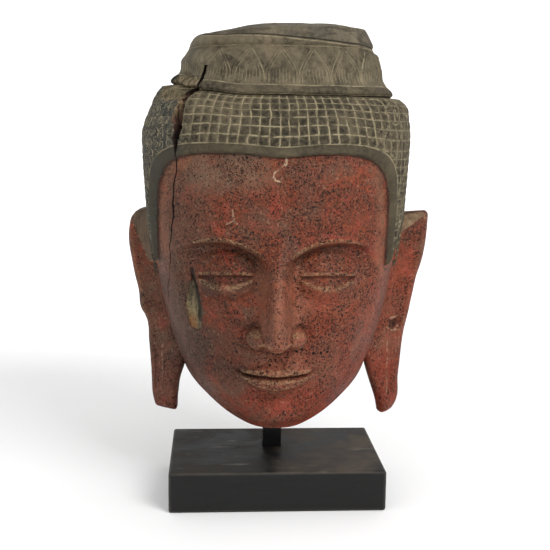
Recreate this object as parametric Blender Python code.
"""A carved and lacquered wooden Buddha head, standing on a square post in a black block.

The head is one solid of wood. It is laid out on a carver's grid that gives it HEAD_PARTS parts of
height, measured up from the lowest point of the chin, so HEAD_HEIGHT alone sets its size. In that
grid X runs to the viewer's right, Y runs back from the face, and Z runs up.
"""

import math

import bmesh
import bpy
import numpy as np

MM = 0.001

# The stand: a block with softened edges, and a square bar let into it and into the head.
BASE_WIDTH = 200 * MM
BASE_DEPTH = 135 * MM
BASE_HEIGHT = 38 * MM
BASE_EDGE = 2.2 * MM
POST_SIDE = 18 * MM
POST_EDGE = 0.8 * MM
POST_OFFSET = -1.5 * MM
POST_SETBACK = 16 * MM
POST_IN_BASE = 20 * MM
POST_IN_HEAD = 30 * MM
CLEARANCE = 0.3 * MM

# The head: its height from chin to cut-off crown, and how it sits over the block.
HEAD_HEIGHT = 371 * MM
HEAD_PARTS = 371
HEAD_OFFSET = -0.5 * MM
HEAD_TURN = math.radians(-2)
CHIN_GAP = 37 * MM

# Levels up the head, in parts.
NECK_CUT = 27
MOUTH = 55.5
NOSE_BASE = 83
EYE = 146
SIDEBURN_TIP = 151
BROW = 167
LEFT_EAR_TOP = 196
RIGHT_EAR_TOP = 195
HAIR_TOP = 302
HEM_TOP = HAIR_TOP + 9
PETAL_TOP = HEM_TOP + 33
RIM_TOP = PETAL_TOP + 17
CROWN_TOP = RIM_TOP + 9

# The hairline, an arch that is shifted a little to the viewer's left, and the hair above it: square
# locks, as many round the head as LOCKS_ROUND, of which those in front are carved in the solid.
HAIRLINE_HEIGHT = 102
HAIRLINE_HALF = 104
HAIRLINE_SHIFT = 4
BAND_WIDTH = 8.5
LOCKS_START = 261
HAIR_PROUD = 5.0
LOCKS_ROUND = 80
LOCKS_IN_FRONT = 13
TIERS = 6.5
GROOVE_DEPTH = 1.6
BACK_COLUMNS = 8

# The crown: its petals, its lean, and the slab above them, whose lower edge slopes to the right.
PETALS = 18
PETAL_PROUD = 2.2
CROWN_LEAN = 3.5
SLAB_SLOPE = 0.08
SLAB_INSET = 2.6

# The ears' lobes, whose ends hang at different levels, and the slant cut on the right ear's top.
LEFT_LOBE_END = 1.5
RIGHT_LOBE_END = -1
RIGHT_EAR_SLANT = 15

# The long drying crack down the viewer's left: how far it runs in, and its narrowing towards the back.
CRACK_DEPTH = 26
CRACK_LEAD = 18
CRACK_TAPER = 0.3
CRACK_SLOPE = math.radians(20)

# Beyond the crack, the wood under the crown has sprung up and weathered back; the right shoulder
# of the hair is fuller.
SPRUNG_UP = 6.5
WORN_BACK = 6
FULLER = 3.5

# How far apart the rows of the carved head are, and the levels between which they are closer: round
# the mouth, the nose, the eyes, the brows, and the edge of the hair.
ROW_PITCH = 14
CLOSER_ROWS = ((40, 66, 3.7), (78, 100, 5.2), (134, 152, 2.9), (152, 178, 5.2), (244, 262, 4.6))


def curve_through(at, stations, values):
    """Smooth curve through the given stations: a cubic between neighbours, with central slopes."""
    stations = np.asarray(stations, float)
    values = np.asarray(values, float)
    slopes = np.gradient(values, stations)
    at = np.clip(at, stations[0], stations[-1])
    i = np.clip(np.searchsorted(stations, at, side="right") - 1, 0, len(stations) - 2)
    span = stations[i + 1] - stations[i]
    t = (at - stations[i]) / span
    rise = values[i + 1] - values[i]
    start = slopes[i] * span
    end = slopes[i + 1] * span
    return values[i] + t * (start + t * (3 * rise - 2 * start - end + t * (start + end - 2 * rise)))


def step_up(at, low, high):
    """0 below low, 1 above high, and a smooth ramp between them."""
    t = np.clip((at - low) / (high - low), 0, 1)
    return t * t * (3 - 2 * t)


def hump(offset, width):
    """A bell of height 1 that falls off over about the given width."""
    return np.exp(-((offset / width) ** 2))


# The plain block of the head: its distance from the axis at every level, to the sides, to the
# face before anything is carved on it, and to the back of the skull.
def half_width(z):
    return curve_through(
        z,
        [0, 14, 34, 60, 90, 120, 150, 180, 215, 250, 268, 282, 293, HAIR_TOP],
        [34, 58, 77, 91, 101, 108, 113, 117, 119.5, 121.5, 122, 120.5, 116, 107.5],
    )


def front_depth(z):
    return curve_through(
        z,
        [0, 14, 34, 60, 90, 120, 150, 180, 215, 245, 265, 282, 294, HAIR_TOP],
        [72, 81, 86, 89, 92.5, 96, 99.5, 103, 106, 106, 103.5, 99, 94, 87],
    )


def back_depth(z):
    return curve_through(
        z,
        [0, 30, 60, 90, 120, 150, 180, 215, 250, 268, 282, 294, HAIR_TOP],
        [58, 66, 80, 92, 102, 109, 114, 116, 115, 112, 107.5, 102, 93],
    )


def section_radius(turn, side, front, back, squareness):
    """Radius of a superellipse section, at a turn from straight ahead."""
    across = np.abs(np.sin(turn)) / side
    along = np.abs(np.cos(turn)) / np.where(np.cos(turn) > 0, front, back)
    return (across**squareness + along**squareness) ** (-1 / squareness)


def jaw_level(turn):
    """Level of the head's lower edge: lowest at the chin, rising along the jaw to the nape."""
    return 6 + 50 * step_up(np.abs(turn), math.radians(12), math.radians(92))


def first_tier_level(turn):
    """Level where the tiers of locks start: just above the band, a little lower in the middle."""
    drop = step_up(np.abs(turn), math.radians(28), math.radians(58))
    return LOCKS_START - 3.2 * hump(turn, math.radians(16)) - 6 * drop


def beyond_hairline(x, z, turn):
    """How far a point lies beyond the hairline, in parts; negative on the face."""
    dip = 3.2 * hump(x - 3, 26)
    across = np.abs(x + HAIRLINE_SHIFT)
    arch = (across / HAIRLINE_HALF) ** 6 + (np.clip(z - SIDEBURN_TIP + dip, 0, None) / HAIRLINE_HEIGHT) ** 6
    above_brow = (arch ** (1 / 6) - 1) * HAIRLINE_HALF
    above_tip = z - SIDEBURN_TIP - 2.4 * np.clip(across - HAIRLINE_HALF, 0, None)
    behind_ear = z - SIDEBURN_TIP + 110 * step_up(np.abs(turn), math.radians(84), math.radians(105))
    return np.where(np.abs(turn) < math.radians(84), np.minimum(above_brow, above_tip), behind_ear)


def beside_crack(turn):
    """1 on the viewer's left of the crack, and 0 on its right and round the back."""
    left = np.degrees(-turn)
    return step_up(left, 44, 52) * (1 - step_up(left, 110, 150))


def sprung_up(turn, z):
    """How far the wood beside the crack stands above its old level, most at the crown's hem."""
    rise = step_up(z - HAIR_TOP, -40, -2) * (1 - step_up(z - HAIR_TOP, 14, 43))
    return SPRUNG_UP * beside_crack(turn) * rise


def worn_back(turn, z):
    """How much has weathered off the same wood, and how much fuller the other shoulder is, below 0."""
    up = z - HAIR_TOP
    left = step_up(up, -37, -10) * (1 - step_up(up, 10, 30)) * (1 - 0.5 * hump(up - 1, 6))
    right = np.degrees(turn)
    right = step_up(right, 50, 70) * (1 - step_up(right, 110, 150)) * hump(up + 6, 9)
    return WORN_BACK * beside_crack(turn) * left - FULLER * right


def lock_relief(lock, tier):
    """How far the locks stand out of the grooves cut between them, most in the middle of each."""
    across = np.abs(np.sin(math.pi * lock))
    return GROOVE_DEPTH * across * np.abs(np.sin(math.pi * tier))


def crown_side(z):
    """Distance from the crown's axis to its sides: a hem, the petal wall, and the cut-off rim."""
    hem = [HAIR_TOP, HAIR_TOP + 2, HAIR_TOP + 4.5, HEM_TOP - 1.5, HEM_TOP + 1.5]
    wall = [HEM_TOP + 17, PETAL_TOP - 1.5, PETAL_TOP]
    rim = [PETAL_TOP + 2.5, PETAL_TOP + 11, RIM_TOP]
    return curve_through(z, hem + wall + rim, [104, 107, 107, 104.5, 100, 94.5, 88.5, 87, 89.5, 87, 83])


def petal_relief(turn, z):
    """Pointed petals standing proud of the crown's wall, one beside the next."""
    phase = turn * PETALS / (2 * math.pi)
    off_centre = 2 * np.abs(phase - np.round(phase))
    up = (z - HEM_TOP) / (PETAL_TOP - HEM_TOP)
    edge = 1 - np.clip((up - 0.25) / 0.75, 0, 1) ** 1.5
    in_wall = step_up(up, 0.0, 0.1) * (1 - step_up(up, 0.9, 1.0))
    return PETAL_PROUD * in_wall * step_up(edge - off_centre, -0.05, 0.2)


# The face, as relief carved forward of the plain block; x is taken from the middle of the face.
def brow_line(x):
    """Level of the brow's edge: an arch over each eye, meeting the nose."""
    reach = np.where(x < 52, 43, 50)
    return BROW + 9 - 17 * ((x - 52) / reach) ** 2


def nose_relief(x, z):
    """A ridge that widens to the tip, with a wing at each side."""
    levels = [NOSE_BASE - 4, NOSE_BASE, 89, 96, 110, 130, 150, 163, 178, 196]
    height = curve_through(z, levels, [0, 25, 35, 38, 33, 25.5, 18, 13, 5, 0])
    width = curve_through(z, levels, [12, 13, 14, 13.5, 11.5, 10, 9.5, 12, 18, 24])
    ridge = height * np.exp(-((x / width) ** 2.6))
    flank = 9 * hump(x, 24) * step_up(z, NOSE_BASE - 2, 92) * (1 - step_up(z, 120, 165))
    wing = 22.5 * np.sqrt(np.clip(1 - ((x - 16) / 10.5) ** 2 - ((z - 92) / 11) ** 2, 0, 1))
    return np.maximum(ridge, wing) + flank


def eye_relief(x, z):
    """A lowered lid over the eyeball, with the open slit below the lid's edge."""
    dx = x - 45
    across = np.clip(1 - (dx / 25) ** 2, 0, 1)
    ball = 10.5 * np.clip(1 - (dx / 31) ** 2 - ((z - EYE) / 22) ** 2, 0, 1) ** 0.8
    upper = EYE - 1.5 + 1.5 * across
    lower = EYE - 2 - 8 * across
    slit = step_up(z, lower - 1, lower + 1) * (1 - step_up(z, upper - 1, upper + 1))
    crease = hump(z - (EYE + 2 + 13 * across), 1.8) * step_up(across, 0.05, 0.4)
    return ball - 3.0 * slit * (across > 0) - 1.6 * crease


def mouth_relief(x, z):
    """Full lips closed in a slight smile, on a low mound."""
    mound = 8 * hump(x, 42) * hump(z - 54, 27)
    across = np.clip(1 - (x / 35) ** 2, 0, 1)
    parting = MOUTH + 4.5 * (1 - across) ** 1.6
    top = parting + 11 * across**0.8 - 1.5 * hump(x, 5)
    bottom = parting - 13.5 * across**0.7
    upper_lip = step_up(z, parting - 0.5, parting + 1) * (1 - step_up(z, top - 3.5, top + 1.5))
    lower_lip = step_up(z, bottom - 2, bottom + 4) * (1 - step_up(z, parting - 1.5, parting))
    lips = (4.2 * upper_lip + 5.2 * lower_lip) * step_up(across, 0, 0.35)
    line = 3.0 * hump(z - parting, 1.6) * (1 - step_up(x, 33, 37))
    philtrum = 1.6 * hump(x, 4) * step_up(z, 68, 72) * (1 - step_up(z, 78, 82))
    under = 3.5 * hump(x, 24) * hump(z - 34, 6)
    return mound + lips - line - philtrum - under


def gouge(x, z):
    """A long shallow gouge in the viewer's left cheek, where the lacquer and wood are gone."""
    centre = -76 + 0.06 * (130 - z)
    inside = 1 - ((x - centre) / 7.5) ** 2 - ((z - 128) / 29) ** 2
    return 3.2 * step_up(inside, -0.1, 0.5)


def broken_hem(turn, z):
    """A patch of the crown's hem and the hair below it that has broken off beside the crack."""
    turn = np.degrees(turn)
    inside = 1 - ((turn + 62) / 19) ** 2 - ((z - HAIR_TOP) / 12) ** 2
    return 4.5 * step_up(inside, -0.1, 0.35)


def face_relief(x, z):
    """Everything carved on the face, in parts forward of the plain block."""
    damage = gouge(x, z)
    x = np.abs(x)
    below_brow = brow_line(x) - z
    socket = step_up(below_brow, -1.5, 5) * (1 - step_up(below_brow, 14, 62))
    socket = socket * step_up(x, 6, 20) * (1 - step_up(x, 58, 96))
    ridge = 2.4 * hump(below_brow + 3, 5) * step_up(x, 4, 14) * (1 - step_up(x, 76, 98))
    cheek = 7 * hump(x - 56, 27) * hump(z - 103, 29)
    chin = 10 * hump(x, 25) * hump(z - 16, 14)
    features = nose_relief(x, z) + eye_relief(x, z) + mouth_relief(x, z)
    return features + cheek + chin + ridge - 11.5 * socket - damage


def placed(radius, turn, z):
    """Points at a radius from the axis, a turn from straight ahead and a level."""
    z = np.broadcast_to(z, np.shape(radius))
    return np.stack([radius * np.sin(turn), -radius * np.cos(turn), z], -1)


def column_locks():
    """Places of the head's columns, in locks from straight ahead.

    In front there is one on each lock and one in each groove; they are wider apart beside the
    face, and widest round the back.
    """
    front = np.arange(-LOCKS_IN_FRONT, LOCKS_IN_FRONT + 0.5, 0.5)
    side = LOCKS_IN_FRONT + np.array([2, 4, 6])
    back = np.linspace(side[-1], LOCKS_ROUND - side[-1], BACK_COLUMNS + 2)[1:-1]
    return np.concatenate([front, side, back, LOCKS_ROUND - side[::-1]])


def face_shares():
    """Shares of the way from jaw to locks for the rows: closer where the face is finely carved."""
    levels = [0.0]
    while levels[-1] < LOCKS_START - 3:
        closer = [pitch for low, high, pitch in CLOSER_ROWS if low <= levels[-1] < high]
        levels.append(levels[-1] + (closer[0] if closer else ROW_PITCH))
    return np.array(levels[:-1]) / levels[-1]


def skull_rows(lock, turn):
    """Rings of the carved head, from the jaw's edge up through the tiers of locks."""
    jaw = jaw_level(turn)
    first = first_tier_level(turn)
    low_z = jaw + face_shares()[:, None] * (first - jaw)
    half_tiers = np.arange(0, TIERS, 0.5)[:, None]
    high_z = first + half_tiers / TIERS * (HAIR_TOP - first)
    z = np.concatenate([low_z, high_z])
    tier = np.concatenate([np.full(low_z.shape, 0.5), np.broadcast_to(half_tiers, high_z.shape)])
    turn = np.broadcast_to(turn, z.shape)
    radius = section_radius(turn, half_width(z), front_depth(z), back_depth(z), 2.25)
    beyond = beyond_hairline(radius * np.sin(turn), z, turn)
    hair = HAIR_PROUD * step_up(beyond, -0.8, 1.6)
    in_front = np.abs(turn) < LOCKS_IN_FRONT * 2 * math.pi / LOCKS_ROUND + 0.01
    in_locks = step_up(beyond, BAND_WIDTH - 1, BAND_WIDTH + 1)
    cut = in_locks * (GROOVE_DEPTH - lock_relief(np.where(in_front, lock, 0.5), tier))
    lost = broken_hem(turn, z) + worn_back(turn, z)
    points = placed(radius + hair - cut - lost, turn, z + sprung_up(turn, z))
    frontal = 1 - step_up(np.abs(turn), math.radians(62), math.radians(84))
    on_face = 1 - step_up(beyond, -5, 0)
    points[..., 1] -= frontal * on_face * face_relief(points[..., 0], z)
    return points


def crown_rows(turn):
    """Rings of the crown: hem, petal wall, rim and slab, and the low dome where it was cut off."""
    petal_levels = [HEM_TOP + 1.5, HEM_TOP + 8, HEM_TOP + 17, HEM_TOP + 25, PETAL_TOP - 1.5]
    hem_levels = [HAIR_TOP, HAIR_TOP + 3, HEM_TOP - 1.5]
    levels = hem_levels + petal_levels + [PETAL_TOP + 2, PETAL_TOP + 8, RIM_TOP]
    levels = np.array(levels, float)[:, None]
    turn = np.broadcast_to(turn, (len(levels), len(turn)))
    side = crown_side(levels)
    slab_edge = PETAL_TOP + 9.5 - SLAB_SLOPE * side * np.sin(turn)
    split = SLAB_INSET * step_up(levels, slab_edge - 2, slab_edge + 2) * step_up(np.cos(turn), -0.3, 0)
    radius = section_radius(turn, side, 0.84 * side, 0.9 * side, 2.2)
    lost = broken_hem(turn, levels) + worn_back(turn, levels)
    carved = radius + petal_relief(turn, levels) - lost - split
    wall = placed(carved, turn, levels + sprung_up(turn, levels))
    shares = np.array([0.8, 0.4])[:, None]
    rise = (CROWN_TOP - RIM_TOP) * (1 - shares**2.2)
    rows = np.concatenate([wall, placed((radius - split)[-1:] * shares, turn[:2], RIM_TOP + rise)])
    in_rim = step_up(rows[..., 2], PETAL_TOP + 4, RIM_TOP)
    rows[..., 2] += in_rim * (2.5 * step_up(rows[..., 0], 10, 60) - 3.8 * step_up(-rows[..., 0], 0, 60))
    lean = step_up(rows[..., 2], HEM_TOP, PETAL_TOP) * step_up(-rows[..., 0], 40, 90)
    rows[..., 0] += 2 * step_up(rows[..., 2], HAIR_TOP, HEM_TOP + 2) + CROWN_LEAN * lean
    return rows


def underside_rows(turn, jaw):
    """Rings under the jaw, from the flat cut of the neck out to the jaw's edge."""
    neck = placed(section_radius(turn, 50, 46, 46, 2.3), turn, float(NECK_CUT))
    below_jaw = jaw - [0, 0, 7]
    inner = neck + 0.55 * (jaw - neck) * [1, 1, 0]
    inner[:, 2] = 0.5 * (neck[:, 2] + np.minimum(neck[:, 2], jaw[:, 2]))
    t = np.array([0.0, 0.55])[:, None, None]
    return (1 - t) ** 3 * neck + 3 * (1 - t) ** 2 * t * inner + 3 * (1 - t) * t**2 * below_jaw + t**3 * jaw


# The ears: long flat plates that flare out and back from the head, with lobes that hang free.
def left_ear_edges(z):
    """Outer and inner edges of the viewer's left ear, seen from above, with a rounded top."""
    outer_x = curve_through(
        z,
        [1, 10, 35, 67, 93, 97, 115, 131, 146, 162, 177, 188, LEFT_EAR_TOP],
        [113, 116, 118, 121, 124, 126.5, 129.5, 133.5, 136.5, 139, 138.5, 135, 126],
    )
    inner_x = curve_through(z, [1, 20, 32, 48, 70, LEFT_EAR_TOP], [95, 93.5, 92, 87, 84, 100])
    outer_y = curve_through(z, [1, 50, 100, 150, LEFT_EAR_TOP], [2, 6, 14, 21, 22])
    inner_y = curve_through(z, [1, 60, LEFT_EAR_TOP], [-12, -16, -14])
    return outer_x, outer_y, inner_x, inner_y


def right_ear_edges(z):
    """Outer and inner edges of the viewer's right ear, whose top is cut off flat."""
    outer_x = curve_through(
        z,
        [-1, 6, 35, 67, 99, 115, 131, 146, 162, 178, RIGHT_EAR_TOP],
        [111.5, 117.5, 122, 126, 131, 134.5, 138, 143, 146, 147.5, 148],
    )
    inner_x = curve_through(z, [-1, 20, 46, 70, RIGHT_EAR_TOP], [106, 98.5, 89.5, 84, 102])
    outer_y = curve_through(z, [-1, 50, 100, 150, RIGHT_EAR_TOP], [2, 6, 14, 21, 22])
    inner_y = curve_through(z, [-1, 60, RIGHT_EAR_TOP], [-12, -16, -14])
    return outer_x, outer_y, inner_x, inner_y


def ear_relief(across, z):
    """Carving on an ear's front: a raised outer rim, a long hollow, and a slit down the lobe."""
    rim = 3.0 * step_up(across, 0.74, 0.86) * step_up(z, 70, 100)
    hollow = 4.5 * hump(across - 0.56, 0.17) * step_up(z, 88, 105) * (1 - step_up(z, 165, 190))
    slit = 2.2 * hump(across - 0.55, 0.07) * step_up(z, 18, 26) * (1 - step_up(z, 70, 76))
    stud = 1.6 * hump(np.hypot((across - 0.52) * 26, z - 83) - 6, 2)
    return rim + stud - hollow - slit


def ear_rows(edges, low, high, top_slant):
    """Rings of points round an ear, mirrored by the caller for the viewer's left."""
    height = high - low
    levels = np.concatenate([[0, 2.5, 7], np.linspace(22, height - 7, 11), [height - 1.5, height]])
    z = low + levels[:, None]
    outer_x, outer_y, inner_x, inner_y = edges(z)
    front = np.array([0.0, 0.1, 0.3, 0.46, 0.55, 0.64, 0.75, 0.86, 0.97])
    back = np.array([1.0, 0.9, 0.65, 0.35, 0.08])
    across = np.concatenate([front, back])[None, :]
    facing = np.concatenate([np.ones(len(front)), -np.ones(len(back))])[None, :]
    along_x, along_y = outer_x - inner_x, outer_y - inner_y
    length = np.hypot(along_x, along_y)
    from_end = np.minimum(z - low, high - z)
    rounding = np.sqrt(np.clip(1 - (1 - np.clip(from_end / 3.5, 0, 1)) ** 2, 0.12, 1))
    half_thickness = rounding * curve_through(z, [low, 50, high], [6.5, 7.5, 6.5])
    swell = np.clip(1 - np.abs(2 * across - 1) ** 5, 0, 1) ** 0.5
    out = facing * half_thickness * swell + (facing > 0) * ear_relief(across, z)
    x = inner_x + across * along_x + out * along_y / length
    y = inner_y + across * along_y - out * along_x / length
    slant = top_slant * (facing > 0) * (1 - across) * step_up(z, high - 22, high)
    return np.stack([x, y, z - slant], -1)


def crack_rows():
    """Cutting shape for the crack: it is widest through the hair and runs out down the face."""
    level = np.linspace(112, 328, 20)
    knots = [112, 150, 197, 237, 254, 267, 287, 297, 301, 306, 313, 328]
    x = curve_through(level, knots, [-99, -97, -93, -89.7, -90, -88.4, -86, -83, -79, -74, -71, -65.5])
    y = curve_through(level, knots, [-42, -59, -72, -78, -84, -83, -78, -74, -71, -70, -68, -63])
    width = curve_through(level, [112, 240, 252, 258, 295, 303, 328], [0.9, 2.0, 2.4, 8.5, 11.5, 8, 5])
    wander = 0.9 * np.sin(level / 7.3) + 0.5 * np.sin(level / 3.1 + 1)
    inward = np.array([math.sin(CRACK_SLOPE), math.cos(CRACK_SLOPE)])
    across = np.array([inward[1], -inward[0]])
    corners = ((-CRACK_LEAD, -0.5), (-CRACK_LEAD, 0.5), (CRACK_DEPTH, 0.5 * CRACK_TAPER))
    corners += ((CRACK_DEPTH, -0.5 * CRACK_TAPER),)
    rows = []
    for depth, half in corners:
        place = np.stack([x + wander, y], -1) + depth * inward + (half * width)[:, None] * across
        rows.append(np.column_stack([place, level]))
    return np.stack(rows, 1)


def closed_mesh(name, rows):
    """A mesh of rings of points, each joined to the next, with the first and last filled in."""
    count, around = rows.shape[:2]
    faces = [list(range(around))[::-1], list(range((count - 1) * around, count * around))]
    for i in range(count - 1):
        for j in range(around):
            k = (j + 1) % around
            faces.append([i * around + j, i * around + k, (i + 1) * around + k, (i + 1) * around + j])
    mesh = bpy.data.meshes.new(name)
    mesh.from_pydata((rows.reshape(-1, 3) * HEAD_HEIGHT / HEAD_PARTS).tolist(), [], faces)
    return mesh


def added(name, mesh, material=None):
    """A new object for the mesh, linked to the scene."""
    thing = bpy.data.objects.new(name, mesh)
    if material:
        mesh.materials.append(material)
    bpy.context.scene.collection.objects.link(thing)
    return thing


def painted(name, colour, roughness, metallic=0.0):
    """A plain Principled material."""
    material = bpy.data.materials.new(name)
    material.use_nodes = True
    shader = material.node_tree.nodes["Principled BSDF"]
    shader.inputs["Base Color"].default_value = (*colour, 1)
    shader.inputs["Roughness"].default_value = roughness
    shader.inputs["Metallic"].default_value = metallic
    return material


def block_mesh(name, width, depth, low, high):
    """A box centred on the Z axis, from one level to another."""
    mesh = bpy.data.meshes.new(name)
    shape = bmesh.new()
    bmesh.ops.create_cube(shape, size=1)
    bmesh.ops.scale(shape, vec=(width, depth, high - low), verts=shape.verts)
    bmesh.ops.translate(shape, vec=(0, 0, (low + high) / 2), verts=shape.verts)
    shape.to_mesh(mesh)
    shape.free()
    return mesh


def softened(thing, width):
    """Round off an object's edges."""
    bevel = thing.modifiers.new("soft edges", "BEVEL")
    bevel.width = width
    bevel.segments = 2


def combined(thing, other, operation):
    """Join a helper object to a thing, or cut it away, and hide the helper."""
    boolean = thing.modifiers.new(other.name, "BOOLEAN")
    boolean.operation = operation
    boolean.object = other
    other.hide_render = True
    other.display_type = "WIRE"


for old in list(bpy.data.objects):
    bpy.data.objects.remove(old)

lacquer = painted("red lacquered wood", (0.24, 0.075, 0.05), 0.6)
black_paint = painted("black painted wood", (0.022, 0.022, 0.023), 0.6)
black_steel = painted("black painted steel", (0.012, 0.012, 0.013), 0.3)

# The head and its ears, in the head's own frame.
locks = column_locks()
turns = (locks * 2 * math.pi / LOCKS_ROUND + math.pi) % (2 * math.pi) - math.pi
skull = skull_rows(locks, turns)
block = np.concatenate([underside_rows(turns, skull[0]), skull, crown_rows(turns)])
head = added("head", closed_mesh("head", block), lacquer)
left_rows = ear_rows(left_ear_edges, LEFT_LOBE_END, LEFT_EAR_TOP, 0)[:, ::-1] * [-1, 1, 1]
right_rows = ear_rows(right_ear_edges, RIGHT_LOBE_END, RIGHT_EAR_TOP, RIGHT_EAR_SLANT)
for name, rows, operation in (
    ("left_ear_shape", left_rows, "UNION"),
    ("right_ear_shape", right_rows, "UNION"),
    ("crack_shape", crack_rows(), "DIFFERENCE"),
):
    shape = added(name, closed_mesh(name, rows))
    shape.parent = head
    combined(head, shape, operation)

base_top = BASE_HEIGHT
head.location = (HEAD_OFFSET, POST_SETBACK, base_top + CHIN_GAP)
head.rotation_euler.z = HEAD_TURN

# The stand.
neck_level = base_top + CHIN_GAP + NECK_CUT * HEAD_HEIGHT / HEAD_PARTS
post_low = base_top - POST_IN_BASE
post_high = neck_level + POST_IN_HEAD
base = added("base", block_mesh("base", BASE_WIDTH, BASE_DEPTH, 0, BASE_HEIGHT), black_paint)
softened(base, BASE_EDGE)
post = added("post", block_mesh("post", POST_SIDE, POST_SIDE, post_low, post_high), black_steel)
softened(post, POST_EDGE)
post.location = (POST_OFFSET, POST_SETBACK, 0)

# Its sockets: one through the top of the block, and one up into the neck.
hole = POST_SIDE + 2 * CLEARANCE
for name, owner, low, high in (
    ("base_socket", base, post_low - CLEARANCE, base_top + POST_SIDE),
    ("head_socket", head, neck_level - POST_SIDE, post_high + CLEARANCE),
):
    socket = added(name, block_mesh(name, hole, hole, low, high))
    socket.location = post.location
    combined(owner, socket, "DIFFERENCE")
